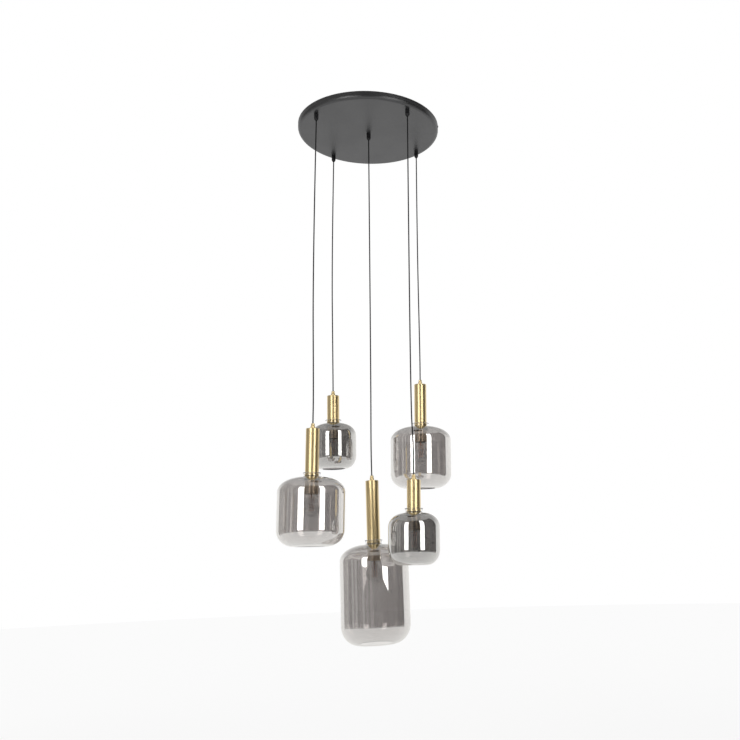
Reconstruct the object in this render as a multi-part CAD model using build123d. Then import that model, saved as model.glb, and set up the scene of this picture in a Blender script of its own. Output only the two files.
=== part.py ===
from build123d import *
import math
import os

# Cluster pendant. A round canopy on the ceiling carries five cords, and each cord carries a
# brass tube, a lampholder, a bulb and a smoked glass shade.
# Lengths are millimetres. +Z is up, z = 0 is the ceiling, X runs to the right and Y away from
# the viewer. A pendant is drawn about its own axis with height 0 at the top of the bead that
# closes the bottom of its brass tube, and is then hung under its cord grip.

# Canopy
canopy_diameter = 542.0
canopy_height = 27.0
canopy_sheet = 1.5
canopy_edge_radius = 12.0

# Ceiling bracket, a strap across the canopy with its ends bent down
bracket_width = 25.0
bracket_sheet = 2.0
bracket_bend_radius = 1.8
bracket_tab_height = 18.0
bracket_end_clearance = 0.3
fixing_slot_spacing = 200.0
fixing_slot_length = 14.0
fixing_slot_width = 5.2

# Side screws that hold the canopy to the bracket's tabs
side_screw_diameter = 3.9
side_screw_head_diameter = 8.0
side_screw_head_height = 2.0
side_screw_head_edge = 1.2
side_screw_drop = 10.0
side_screw_tail = 3.0
side_hole_clearance = 0.15
tab_hole_clearance = 0.05
side_head_clearance = 0.05

# Cord and cord grips
cord_diameter = 4.5
cord_clearance = 0.3
grip_edge_distance = 30.58
grip_body_diameter = 16.0
grip_body_height = 15.0
grip_nose_height = 12.0
grip_nose_bulge = 1.4
grip_mouth_diameter = 8.4
grip_mouth_chamfer = 0.6
grip_thread_diameter = 10.0
grip_thread_spare = 1.5
thread_clearance = 0.1
locknut_across_flats = 14.0
locknut_height = 4.0

# Terminal block under the bracket, and the cord tails that run to it
terminal_block_offset = 70.0
terminal_block_width = 20.0
terminal_block_height = 13.0
terminal_pitch = 20.0
terminal_screw_diameter = 4.5
terminal_screw_depth = 2.0
terminal_edge_radius = 1.5
tail_bend_radius = 11.0
tail_approach = 52.0
centre_tail_run = 28.0
centre_tail_loop = 44.0
centre_tail_approach = 24.0

# The cord bends where it leaves its grip. The bend is two short hinges one neck apart.
cord_neck_length = 12.0
bend_gap = 0.5

# Brass ferrule on top of each tube
ferrule_diameter = 15.0
ferrule_cap_diameter = 12.5
ferrule_height = 18.0
ferrule_cap_height = 8.0
ferrule_thread_diameter = 10.0
ferrule_edge = 1.0
knee_height = 100.0

# Brass tube, with a bead and a seat that tapers into the neck of the glass
tube_diameter = 46.0
tube_wall = 1.2
tube_plug = 5.0
tube_top_radius = 1.5
bead_height = 7.0
bead_swell = 0.9
seat_height = 8.0
seat_diameter = 41.0
seat_bulge = 0.5

# Lampholder
holder_clearance = 0.2
holder_spigot_height = 20.0
holder_bottom = 67.0
holder_edge = 0.8
holder_mouth_diameter = 36.0
holder_mouth_depth = 8.0
socket_diameter = 27.0
socket_depth = 28.0

# Shade ring that carries the glass from inside its neck
ring_diameter = 53.6
ring_height = 5.0
ring_collar_height = 3.6
ring_clearance = 0.2
ring_seat_gap = 0.1

# Glass neck, the same on every shade
glass_wall = 3.0
neck_bore_diameter = 49.8
collar_clearance = 0.3
lip_diameter = 61.4
lip_rise = 5.0
neck_height = 12.0
shoulder_drop_below_bead = 10.0
neck_root_radius = 4.0

# Bulb
cap_clearance = 0.3
cap_wall = 0.6
cap_thread_depth = 0.9
cap_thread_pitch = 3.6
cap_thread_turns = 5
cap_tip_diameter = 9.0
cap_tip_height = 1.7
cap_cone_height = 3.0
bulb_diameter = 60.0
bulb_centre_below_holder = 46.0
bulb_glass_wall = 0.8
bulb_neck_diameter = 27.2
bulb_seal_clearance = 0.2
bulb_seal_length = 15.0
bulb_join_angle = 40.0
bulb_neck_rise = 2.0
stem_diameter = 5.2
stem_flare_height = 2.0
stem_length = 42.0
filament_wire = 1.2
filament_arm = 0.8
filament_hub_diameter = 5.0
filament_hub_height = 1.8
filament_circle = 18.0
filament_legs = 8
filament_top_below_holder = 9.0
filament_length = 46.0

# Shade sizes: diameter, height from the bead to the mouth, mouth diameter, depth of the
# rounded shoulder, depth of the rounded base, and length of the brass tube above the bead
small_shade_diameter = 172.0
small_shade_height = 181.0
small_mouth_diameter = 86.0
small_shoulder_depth = 46.0
small_base_depth = 50.0
small_tube_length = 100.0

medium_shade_diameter = 228.0
medium_shade_height = 241.0
medium_mouth_diameter = 108.0
medium_shoulder_depth = 50.0
medium_base_depth = 54.0
medium_tube_length = 156.0

large_shade_diameter = 240.0
large_shade_height = 348.0
large_mouth_diameter = 118.0
large_shoulder_depth = 55.0
large_base_depth = 66.0
large_tube_length = 213.0

small = (small_shade_diameter, small_shade_height, small_mouth_diameter,
         small_shoulder_depth, small_base_depth, small_tube_length)
medium = (medium_shade_diameter, medium_shade_height, medium_mouth_diameter,
          medium_shoulder_depth, medium_base_depth, medium_tube_length)
large = (large_shade_diameter, large_shade_height, large_mouth_diameter,
         large_shoulder_depth, large_base_depth, large_tube_length)

# Drop from the canopy's underside to the top of each brass tube
front_left_drop = 1181.0
back_left_drop = 1004.0
centre_drop = 1350.0
front_right_drop = 1367.0
back_right_drop = 972.0

# Each pendant: name, side of the canopy along X and Y, size, drop, sideways set of the
# ferrule, lean of the head in degrees, and the bow of its cord with the share of the drop
# at which the bow is widest
pendants = [
    ("front_left", -1, -1, medium, front_left_drop, -3.0, -0.7, -8.0, 0.50),
    ("back_left", -1, 1, small, back_left_drop, 1.0, 0.6, -6.0, 0.45),
    ("centre", 0, 0, large, centre_drop, 4.0, 1.3, 3.0, 0.72),
    ("front_right", 1, -1, small, front_right_drop, 1.0, -0.5, -6.0, 0.80),
    ("back_right", 1, 1, medium, back_right_drop, -1.0, -0.5, -3.0, 0.42),
]

# Derived heights and radii
underside = -canopy_height
canopy_radius = canopy_diameter / 2
grip_spacing = math.sqrt(2) * (canopy_radius - grip_edge_distance)
cord_radius = cord_diameter / 2
cord_bore = cord_radius + cord_clearance
grip_height = grip_body_height + grip_nose_height
grip_mouth = underside - grip_height
grip_thread_radius = grip_thread_diameter / 2
grip_thread_top = underside + canopy_sheet + locknut_height + grip_thread_spare
tail_level = -bracket_sheet - terminal_block_height / 2
neck_bottom = grip_mouth - cord_neck_length
tube_radius = tube_diameter / 2
seat_radius = seat_diameter / 2
seat_bottom = -bead_height - seat_height
seat_bore = seat_radius - tube_wall
neck_bore = neck_bore_diameter / 2
shoulder_top = -shoulder_drop_below_bead
ring_top = shoulder_top - glass_wall - ring_seat_gap
holder_mouth_top = -holder_bottom + holder_mouth_depth
socket_top = holder_mouth_top + socket_depth
socket_radius = socket_diameter / 2
cap_radius = socket_radius - cap_clearance
cap_top = socket_top - cap_clearance
cap_shoulder = cap_top - cap_tip_height - cap_cone_height
cap_bore = cap_radius - cap_thread_depth - cap_wall
cap_floor = cap_shoulder - cap_wall
bulb_centre = -holder_bottom - bulb_centre_below_holder
bulb_radius = bulb_diameter / 2

os.makedirs("parts", exist_ok=True)


def turned(edges):
    """Solid of revolution about Z, from edges that close an outline drawn as (radius, height)."""
    return revolve(Plane.XZ * make_face(edges), Axis.Z)


def outline(*points):
    """Closed run of straight edges through the given (radius, height) points."""
    return Polyline(*points, close=True).edges()


def chain(*curves):
    """Edges of several curves that meet end to end."""
    return [edge for curve in curves for edge in curve.edges()]


def oval_arc(centre, reach, rise, start, sweep_angle=90):
    """Stretch of an ellipse with upright axes, from a start angle in degrees."""
    return EllipticalCenterArc(centre, reach, rise, start, arc_size=sweep_angle)


def save(solids, node):
    """Write one node, as a group when it holds several solids."""
    group = list(solids)
    export_step(group[0] if len(group) == 1 else Compound(children=group), f"parts/{node}.step")


def grip_places():
    """Plan position of the cord grip of each pendant, by name."""
    half = grip_spacing / 2
    return {name: (side_x * half, side_y * half) for name, side_x, side_y, *rest in pendants}


def tube_along(points, radii):
    """Round cord along straight runs joined by tangent arcs."""
    path = FilletPolyline(*points, radius=radii)
    solid = sweep(sections=(path ^ 0) * Circle(cord_radius), path=path)
    return solid, path.length


def bend_radii(points):
    """Arc radius at each corner: 0.45 of the shorter run over the tangent of half the turn."""
    radii = []
    for before, corner, after in zip(points, points[1:], points[2:]):
        run_in = Vector(*corner) - Vector(*before)
        run_out = Vector(*after) - Vector(*corner)
        half_turn = math.radians(run_in.get_angle(run_out)) / 2
        radii.append(0.45 * min(run_in.length, run_out.length) / math.tan(half_turn))
    return radii


# ---------------------------------------------------------------- canopy and its inside

def canopy_pan():
    """Shallow round pan, open at the ceiling, with a hole for each cord grip and side screw."""
    wall_foot = underside + canopy_edge_radius
    flat = canopy_radius - canopy_edge_radius
    inner = canopy_radius - canopy_sheet
    floor = underside + canopy_sheet
    outer_round = RadiusArc((flat, underside), (canopy_radius, wall_foot), -canopy_edge_radius)
    inner_round = RadiusArc((inner, wall_foot), (flat, floor), canopy_edge_radius - canopy_sheet)
    pan = turned(chain(
        Line((0, underside), (flat, underside)),
        outer_round,
        Line((canopy_radius, wall_foot), (canopy_radius, 0)),
        Line((canopy_radius, 0), (inner, 0)),
        Line((inner, 0), (inner, wall_foot)),
        inner_round,
        Line((flat, floor), (0, floor)),
        Line((0, floor), (0, underside)),
    ))
    hole = Cylinder(grip_thread_radius + thread_clearance, 3 * canopy_sheet)
    for x, y in grip_places().values():
        pan -= Pos(x, y, underside + canopy_sheet / 2) * hole
    side_hole = Cylinder(side_screw_diameter / 2 + side_hole_clearance, 6 * canopy_sheet)
    for side in (-1, 1):
        pan -= Pos(side * canopy_radius, 0, -side_screw_drop) * Rot(0, 90, 0) * side_hole
    return pan


def bracket_reach():
    """Distance from the middle to the outer face of the bracket's tabs."""
    inner = canopy_radius - canopy_sheet
    return math.sqrt(inner ** 2 - (bracket_width / 2) ** 2) - bracket_end_clearance


def ceiling_bracket():
    """Strap with two fixing slots and a threaded tab bent down at each end."""
    reach = bracket_reach()
    strap = Pos(0, 0, -bracket_sheet / 2) * Box(2 * reach, bracket_width, bracket_sheet)
    for side in (-1, 1):
        tab_middle = side * (reach - bracket_sheet / 2)
        tab = Box(bracket_sheet, bracket_width, bracket_tab_height)
        strap += Pos(tab_middle, 0, -bracket_tab_height / 2) * tab
        thread = Cylinder(side_screw_diameter / 2 + tab_hole_clearance, 3 * bracket_sheet)
        strap -= Pos(tab_middle, 0, -side_screw_drop) * Rot(0, 90, 0) * thread
        slot = SlotOverall(fixing_slot_length, fixing_slot_width)
        cut = extrude(slot, amount=2 * bracket_sheet, both=True)
        strap -= Pos(side * fixing_slot_spacing / 2, 0, 0) * cut
    corners = strap.edges().filter_by(Axis.Y).group_by(Axis.Z)[-1]
    return fillet(corners, bracket_bend_radius)


def side_screw(side):
    """Low round-headed screw through the canopy's wall into a bracket tab."""
    shank_start = bracket_reach() - bracket_sheet - side_screw_tail
    head_start = canopy_radius + side_head_clearance
    shank_length = head_start - shank_start
    shank = Pos(0, 0, shank_start + shank_length / 2) * Cylinder(side_screw_diameter / 2, shank_length)
    head = Cylinder(side_screw_head_diameter / 2, side_screw_head_height)
    head = fillet(head.edges().group_by(Axis.Z)[-1], side_screw_head_edge)
    screw = shank + Pos(0, 0, head_start + side_screw_head_height / 2) * head
    return Pos(0, 0, -side_screw_drop) * Rot(0, 90 * side, 0) * screw


def cord_grip():
    """Strain relief: threaded stub, round body and a nose that narrows to the cord."""
    body = grip_body_diameter / 2
    mouth = grip_mouth_diameter / 2
    nose_top = underside - grip_body_height
    chamfer_top = grip_mouth + grip_mouth_chamfer
    nose_middle = ((body + mouth) / 2 + grip_nose_bulge, nose_top - grip_nose_height / 2)
    return turned(chain(
        Line((cord_bore, grip_thread_top), (grip_thread_radius, grip_thread_top)),
        Line((grip_thread_radius, grip_thread_top), (grip_thread_radius, underside)),
        Line((grip_thread_radius, underside), (body, underside)),
        Line((body, underside), (body, nose_top)),
        ThreePointArc((body, nose_top), nose_middle, (mouth, grip_mouth)),
        Line((mouth, grip_mouth), (cord_bore + grip_mouth_chamfer, grip_mouth)),
        Line((cord_bore + grip_mouth_chamfer, grip_mouth), (cord_bore, chamfer_top)),
        Line((cord_bore, chamfer_top), (cord_bore, grip_thread_top)),
    ))


def locknut():
    """Thin hexagon nut on the grip's thread, seated on the canopy's sheet."""
    hexagon = RegularPolygon(locknut_across_flats / 2, 6, major_radius=False)
    hexagon -= Circle(grip_thread_radius + thread_clearance)
    return Pos(0, 0, underside + canopy_sheet) * extrude(hexagon, amount=locknut_height)


def terminal_block():
    """Moulded strip under the bracket, with a screw recess over each of its six clamps."""
    length = 3 * terminal_pitch
    block = Box(length, terminal_block_width, terminal_block_height)
    block = fillet(block.edges().filter_by(Axis.Z), terminal_edge_radius)
    recess = Cylinder(terminal_screw_diameter / 2, 2 * terminal_screw_depth)
    for step in (-1, 0, 1):
        for side in (-1, 1):
            place = (step * terminal_pitch, side * terminal_block_width / 4)
            block -= Pos(*place, -terminal_block_height / 2) * recess
    return Pos(terminal_block_offset, 0, tail_level) * block


def tail_route(name):
    """Plan points of a cord tail, from over its grip to its clamp in the terminal block."""
    x, y = grip_places()[name]
    first = terminal_block_offset - terminal_pitch
    face = terminal_block_width / 2
    clamp = {"centre": (first, -1), "front_left": (first + terminal_pitch, -1),
             "front_right": (first + 2 * terminal_pitch, -1), "back_left": (first, 1),
             "back_right": (first + 2 * terminal_pitch, 1)}[name]
    end = (clamp[0], clamp[1] * face)
    if name == "centre":
        return [(x, y), (x, y - centre_tail_run), (first / 2, -centre_tail_loop),
                (first, -face - centre_tail_approach), end]
    return [(x, y), (clamp[0], clamp[1] * (face + tail_approach)), end]


def cord_tail(name):
    """Cord from the mouth of its grip, up through the grip and across to the terminal block."""
    plan = tail_route(name)
    start = (*plan[0], grip_mouth + bend_gap)
    points = [start] + [(x, y, tail_level) for x, y in plan]
    radii = bend_radii(points)
    radii[0] = tail_bend_radius
    return tube_along(points, radii)[0]


# ---------------------------------------------------------------- the head of a pendant

def ferrule(tube_length):
    """Brass cord grip that screws into the plug of the tube."""
    base = ferrule_diameter / 2
    cap = ferrule_cap_diameter / 2
    thread = ferrule_thread_diameter / 2
    foot = tube_length
    step = foot + ferrule_height - ferrule_cap_height
    top = foot + ferrule_height
    return turned(outline(
        (cord_bore, foot - tube_plug), (thread, foot - tube_plug), (thread, foot),
        (base, foot), (base, step - ferrule_edge), (base - ferrule_edge, step), (cap, step),
        (cap, top - ferrule_edge), (cap - ferrule_edge, top), (cord_bore, top),
    ))


def brass_tube(tube_length):
    """Tube with a threaded plug at the top, a bead at the bottom and a tapering seat."""
    hole = ferrule_thread_diameter / 2 + thread_clearance
    inner = tube_radius - tube_wall
    shoulder = tube_radius - tube_top_radius
    top = tube_length
    bead = ThreePointArc(
        (tube_radius, 0), (tube_radius + bead_swell, -bead_height / 2), (tube_radius, -bead_height))
    seat_middle = ((seat_radius + tube_radius) / 2 + seat_bulge, -bead_height - seat_height / 2)
    seat = ThreePointArc((tube_radius, -bead_height), seat_middle, (seat_radius, seat_bottom))
    return turned(chain(
        Line((hole, top), (shoulder, top)),
        RadiusArc((shoulder, top), (tube_radius, top - tube_top_radius), tube_top_radius),
        Line((tube_radius, top - tube_top_radius), (tube_radius, 0)),
        bead,
        seat,
        Line((seat_radius, seat_bottom), (seat_bore, seat_bottom)),
        Line((seat_bore, seat_bottom), (inner, -bead_height)),
        Line((inner, -bead_height), (inner, top - tube_plug)),
        Line((inner, top - tube_plug), (hole, top - tube_plug)),
        Line((hole, top - tube_plug), (hole, top)),
    ))


def lampholder():
    """Holder whose spigot fits the tube and whose sleeve shows below the neck of the glass."""
    spigot = seat_bore - holder_clearance
    mouth = holder_mouth_diameter / 2
    bottom = -holder_bottom
    return turned(outline(
        (0, holder_spigot_height), (spigot, holder_spigot_height), (spigot, seat_bottom),
        (tube_radius, seat_bottom), (tube_radius, bottom + holder_edge),
        (tube_radius - holder_edge, bottom), (mouth, bottom), (mouth, holder_mouth_top),
        (socket_radius, holder_mouth_top), (socket_radius, socket_top), (0, socket_top),
    ))


def shade_ring():
    """Ring on the holder's sleeve: a flange under the glass and a collar inside its neck."""
    bore = tube_radius + ring_clearance
    collar = neck_bore - collar_clearance
    flange = ring_diameter / 2
    return turned(outline(
        (bore, ring_top - ring_height), (flange, ring_top - ring_height), (flange, ring_top),
        (collar, ring_top), (collar, ring_top + ring_collar_height),
        (bore, ring_top + ring_collar_height),
    ))


def glass_shade(diameter, height, mouth_diameter, shoulder_depth, base_depth):
    """Blown shade of even wall: flared lip, rounded shoulder, straight side, open mouth."""
    side = diameter / 2
    mouth = mouth_diameter / 2
    half_wall = glass_wall / 2
    neck = neck_bore + glass_wall
    lip = lip_diameter / 2 - half_wall
    neck_foot = lip_rise - neck_height
    root = neck + neck_root_radius
    shoulder = shoulder_top - shoulder_depth
    base = -height + base_depth
    under = shoulder_top - glass_wall
    curl = neck_root_radius / 2
    return turned(chain(
        oval_arc((lip, neck_foot), lip - neck, neck_height - glass_wall, 90),
        Line((neck, neck_foot), (neck, shoulder_top + neck_root_radius)),
        oval_arc((root, shoulder_top + neck_root_radius), neck_root_radius, neck_root_radius, 180),
        oval_arc((root, shoulder), side - root, shoulder_depth, 0),
        Line((side, shoulder), (side, base)),
        oval_arc((mouth, base), side - mouth, base_depth, 270),
        oval_arc((mouth, -height + half_wall), half_wall, half_wall, 90, 180),
        oval_arc((mouth, base), side - mouth - glass_wall, base_depth - glass_wall, 270),
        Line((side - glass_wall, base), (side - glass_wall, shoulder)),
        oval_arc((root, shoulder), side - root - glass_wall, shoulder_depth - glass_wall, 0),
        Line((root, under), (neck_bore + curl, under)),
        oval_arc((neck_bore + curl, under + curl), curl, curl, 180),
        Line((neck_bore, under + curl), (neck_bore, neck_foot)),
        oval_arc((lip, neck_foot), lip - neck_bore, neck_height, 90),
        oval_arc((lip, lip_rise - half_wall), half_wall, half_wall, -90, 180),
    ))


def bulb_cap():
    """Screw cap: contact tip, cone, rounded thread and a bore that takes the glass."""
    crest = cap_radius
    root = cap_radius - cap_thread_depth
    rim = holder_mouth_top
    tip = cap_tip_diameter / 2
    thread = []
    for turn in range(cap_thread_turns):
        start = cap_shoulder - turn * cap_thread_pitch
        thread.append((root, start))
        thread.append((crest, start - cap_thread_pitch / 2))
    thread.append((root, cap_shoulder - cap_thread_turns * cap_thread_pitch))
    return turned(outline(
        (0, cap_top), (tip, cap_top), (tip, cap_top - cap_tip_height), *thread,
        (root, rim), (cap_bore, rim), (cap_bore, cap_floor), (0, cap_floor),
    ))


def bulb_glass():
    """Round bulb with a neck that is sealed into the cap."""
    wall = bulb_glass_wall
    seal = cap_bore - bulb_seal_clearance
    seal_top = holder_mouth_top + bulb_seal_length
    neck = bulb_neck_diameter / 2
    neck_level = -holder_bottom + bulb_neck_rise
    angle = math.radians(bulb_join_angle)
    slope = (math.sin(angle), -math.cos(angle))

    def skin(radius, seal_radius, neck_radius):
        """Edges of one face of the glass, from the seal down to the pole."""
        joint = (radius * math.cos(angle), bulb_centre + radius * math.sin(angle))
        pole = (0, bulb_centre - radius)
        return chain(
            Line((seal_radius, seal_top), (seal_radius, holder_mouth_top)),
            Line((seal_radius, holder_mouth_top), (neck_radius, neck_level)),
            Spline((neck_radius, neck_level), joint, tangents=((0, -1), slope)),
            RadiusArc(pole, joint, -radius),
        )

    outer = skin(bulb_radius, seal, neck)
    inner = skin(bulb_radius - wall, seal - wall, neck - wall)
    rim = Line((seal, seal_top), (seal - wall, seal_top))
    pole = Line((0, bulb_centre - bulb_radius), (0, bulb_centre - bulb_radius + wall))
    return turned(outer + inner + chain(rim, pole))


def filament():
    """Glass stem with a cage of upright wires held between two stars of supports."""
    flare = cap_bore - bulb_glass_wall - 2 * bulb_seal_clearance
    stem_radius = stem_diameter / 2
    wire = filament_wire / 2
    circle = filament_circle / 2
    top = -holder_bottom - filament_top_below_holder
    bottom = top - filament_length
    stem_foot = cap_floor - stem_length
    body = Pos(0, 0, cap_floor - stem_flare_height / 2) * Cylinder(flare, stem_flare_height)
    body += Pos(0, 0, cap_floor - stem_length / 2) * Cylinder(stem_radius, stem_length)
    body += Pos(0, 0, (stem_foot + bottom) / 2) * Cylinder(wire, stem_foot - bottom)
    body += Pos(0, 0, top) * Cylinder(filament_hub_diameter / 2, filament_hub_height)
    body += Pos(0, 0, bottom) * Cylinder(filament_hub_diameter / 2, filament_hub_height)
    for step in range(filament_legs):
        turn = Rot(0, 0, 360 * step / filament_legs)
        leg = Pos(circle, 0, (top + bottom) / 2) * Cylinder(wire, filament_length + 2 * wire)
        body += turn * leg
        for level in (top, bottom):
            body += turn * Pos(circle / 2, 0, level) * Rot(0, 90, 0) * Cylinder(filament_arm / 2, circle)
    return body


# ---------------------------------------------------------------- hanging the pendants

def head_place(x, y, tube_length, drop, shift, lean):
    """Location that hangs a head, drawn about its bead, from the top of its ferrule."""
    ferrule_top = underside - drop + ferrule_height
    hang = Location((x + shift, y, ferrule_top), (0, -lean, 0))
    return hang * Location((0, 0, -tube_length - ferrule_height))


def cord_route(x, y, tube_length, drop, shift, lean, bow, bow_share):
    """Points of the free cord: neck, widest point of the bow, knee and top of the ferrule."""
    place = head_place(x, y, tube_length, drop, shift, lean)
    top = place * Location((0, 0, tube_length + ferrule_height))
    knee = place * Location((0, 0, tube_length + ferrule_height + knee_height))
    start = (x, y, neck_bottom - bend_gap / 2)
    widest = (x + bow, y, underside - bow_share * drop)
    return [start, widest, tuple(knee.position), tuple(top.position)]


def hung_cord(points, place, tube_length):
    """Free cord joined to the straight stretch inside the ferrule and the tube."""
    radii = bend_radii(points)
    free, length = tube_along(points, radii)
    inside = tube_length + ferrule_height - holder_spigot_height
    middle = holder_spigot_height + inside / 2
    straight = place * Pos(0, 0, middle) * Cylinder(cord_radius, inside)
    cord = free + straight
    section = math.pi * cord_radius ** 2
    print("  arc radii", [round(radius) for radius in radii],
          "length", round(length + inside, 1),
          "volume over section x length", round(cord.volume / (section * (length + inside)), 5))
    return cord


def build_root():
    """Everything that is fixed to the ceiling."""
    places = grip_places()
    save([canopy_pan()], "canopy_pan")
    save([ceiling_bracket()], "ceiling_bracket")
    save([side_screw(-1), side_screw(1)], "side_screws")
    save([Pos(x, y, 0) * cord_grip() for x, y in places.values()], "cord_grips")
    save([Pos(x, y, 0) * locknut() for x, y in places.values()], "grip_locknuts")
    save([terminal_block()], "terminal_block")
    save([cord_tail(name) for name in places], "cord_tails")


def build_pendant(name, side_x, side_y, size, drop, shift, lean, bow, bow_share):
    """One pendant, from the neck of its cord to its shade and bulb."""
    diameter, height, mouth, shoulder, base, tube_length = size
    x = side_x * grip_spacing / 2
    y = side_y * grip_spacing / 2
    place = head_place(x, y, tube_length, drop, shift, lean)
    neck_length = cord_neck_length - bend_gap / 2
    neck = Pos(x, y, grip_mouth - neck_length / 2) * Cylinder(cord_radius, neck_length)
    print(name)
    points = cord_route(x, y, tube_length, drop, shift, lean, bow, bow_share)
    save([neck], f"{name}_cord_neck")
    save([hung_cord(points, place, tube_length)], f"{name}_cord")
    save([place * ferrule(tube_length)], f"{name}_ferrule")
    save([place * brass_tube(tube_length)], f"{name}_tube")
    save([place * lampholder()], f"{name}_lampholder")
    save([place * shade_ring()], f"{name}_shade_ring")
    save([place * glass_shade(diameter, height, mouth, shoulder, base)], f"{name}_shade")
    save([place * bulb_cap()], f"{name}_bulb_cap")
    save([place * bulb_glass()], f"{name}_bulb_glass")
    save([place * filament()], f"{name}_filament")


build_root()
for pendant in pendants:
    build_pendant(*pendant)
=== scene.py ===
"""Looks of a cluster pendant: brass tubes and smoked glass shades on black cords."""

import math

import bmesh
import bpy
from mathutils import Matrix, Vector


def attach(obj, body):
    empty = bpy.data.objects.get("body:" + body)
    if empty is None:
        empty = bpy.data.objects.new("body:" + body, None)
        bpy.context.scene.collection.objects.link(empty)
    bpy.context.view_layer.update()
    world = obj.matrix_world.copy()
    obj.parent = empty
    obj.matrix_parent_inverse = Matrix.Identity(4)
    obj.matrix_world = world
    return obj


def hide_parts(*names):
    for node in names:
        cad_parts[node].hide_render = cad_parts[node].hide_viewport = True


bl_info = {
    "name": "Cluster Pendant",
    "version": (1, 0, 0),
    "blender": (4, 5, 0),
    "location": "3D View > Sidebar > Pendant",
    "description": "Cords, brass tubes, smoked glass shades and bulbs of a cluster pendant",
    "category": "Add Mesh",
}

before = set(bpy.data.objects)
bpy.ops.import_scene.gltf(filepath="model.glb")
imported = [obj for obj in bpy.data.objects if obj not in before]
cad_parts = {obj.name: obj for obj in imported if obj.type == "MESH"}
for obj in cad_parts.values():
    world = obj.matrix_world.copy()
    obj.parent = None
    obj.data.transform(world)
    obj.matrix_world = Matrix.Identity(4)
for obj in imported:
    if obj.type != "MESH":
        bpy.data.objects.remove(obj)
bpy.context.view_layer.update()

# Shades, in metres: diameter, height from the bead to the mouth, mouth diameter, depths of the
# rounded shoulder and base, and length of the brass tube above the bead
SHADES = {
    "small": (0.172, 0.181, 0.086, 0.046, 0.050, 0.100),
    "medium": (0.228, 0.241, 0.108, 0.050, 0.054, 0.156),
    "large": (0.240, 0.348, 0.118, 0.055, 0.066, 0.213),
}

# Pendants: place along X and Y, shade, drop from the canopy to the top of the tube, sideways set,
# lean of the head in degrees, bow of the cord, and share of the drop where the bow is widest
PENDANTS = {
    "front_left": (-1, -1, "medium", 1.181, -0.003, -0.7, -0.008, 0.50),
    "back_left": (-1, 1, "small", 1.004, 0.001, 0.6, -0.006, 0.45),
    "centre": (0, 0, "large", 1.350, 0.004, 1.3, 0.003, 0.72),
    "front_right": (1, -1, "small", 1.367, 0.001, -0.5, -0.006, 0.80),
    "back_right": (1, 1, "medium", 0.972, -0.001, -0.5, -0.003, 0.42),
}


# ---------------------------------------------------------------- sizes and colours

def size(name, value, description):
    """A length that a user may change."""
    return bpy.props.FloatProperty(
        name=name, description=description, default=value, precision=4, unit="LENGTH")


def colour(name, value, description):
    """A colour that a user may change."""
    return bpy.props.FloatVectorProperty(
        name=name, description=description, default=value, subtype="COLOR", min=0.0, max=1.0)


class PendantPlace(bpy.types.PropertyGroup):
    """Where one pendant hangs and what it carries."""
    side_x: bpy.props.IntProperty(name="Side X", description="Left, middle or right", default=0)
    side_y: bpy.props.IntProperty(name="Side Y", description="Front, middle or back", default=0)
    glass: bpy.props.StringProperty(
        name="Glass", description="Which shade it has", default="medium")
    drop: size("Drop", 1.0, "Canopy to the top of the tube")
    shift: size("Sideways set", 0.0, "How far the head hangs to one side of its grip")
    lean: bpy.props.FloatProperty(
        name="Lean", description="Tilt of the head", default=0.0, subtype="ANGLE")
    bow: size("Bow", 0.0, "How far the cord bows to one side")
    bow_share: bpy.props.FloatProperty(
        name="Bow height", description="Share of the drop where the bow is widest", default=0.5)
    shade_diameter: size("Shade diameter", 0.228, "Across the glass")
    shade_height: size("Shade height", 0.241, "Bead to the mouth")
    mouth_diameter: size("Mouth", 0.108, "Opening at the bottom of the glass")
    shoulder_depth: size("Shoulder", 0.050, "Depth of the rounded top")
    base_depth: size("Base", 0.054, "Depth of the rounded bottom")
    tube_length: size("Tube", 0.156, "Brass tube above its bead")


class CanopySizes(bpy.types.PropertyGroup):
    """Canopy, grips and cord."""
    height: size("Height", 0.027, "Ceiling to the underside")
    grip_spacing: size("Grip spacing", 0.340, "Between the outer grips")
    grip_height: size("Grip height", 0.027, "Underside to the mouth of a grip")
    cord_diameter: size("Cord", 0.0045, "Across the cord")
    neck_length: size("Neck", 0.012, "Short bend of the cord under its grip")
    knee_height: size("Knee", 0.100, "Where the cord turns in line with the head")


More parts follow.
